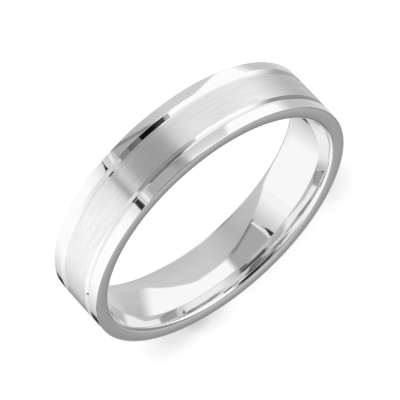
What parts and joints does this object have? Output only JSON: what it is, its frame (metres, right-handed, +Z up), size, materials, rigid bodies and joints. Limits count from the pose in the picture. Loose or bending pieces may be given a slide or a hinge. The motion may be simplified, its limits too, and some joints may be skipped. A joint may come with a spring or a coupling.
{
  "type": "wedding band",
  "caption": "Flat white-metal wedding band with a brushed centre, two V grooves, polished rails and a comfort-fit finger hole.",
  "frame": {"origin": "centre of the finger hole, at mid-width of the band", "axes": "+Y along the ring's axis from the front side face to the back one, +Z up with the band standing on its rim"},
  "size_m": [0.023, 0.005, 0.023],
  "materials": {
    "polished_metal": "mirror-polished white precious metal",
    "brushed_metal": "satin, with fine lines brushed round the band"
  },
  "bodies": {
    "root": {"comfort_fit_sleeve": "polished_metal", "brushed_centre_ring": "brushed_metal", "front_polished_rail": "polished_metal", "back_polished_rail": "polished_metal"}
  },
  "joints": []
}
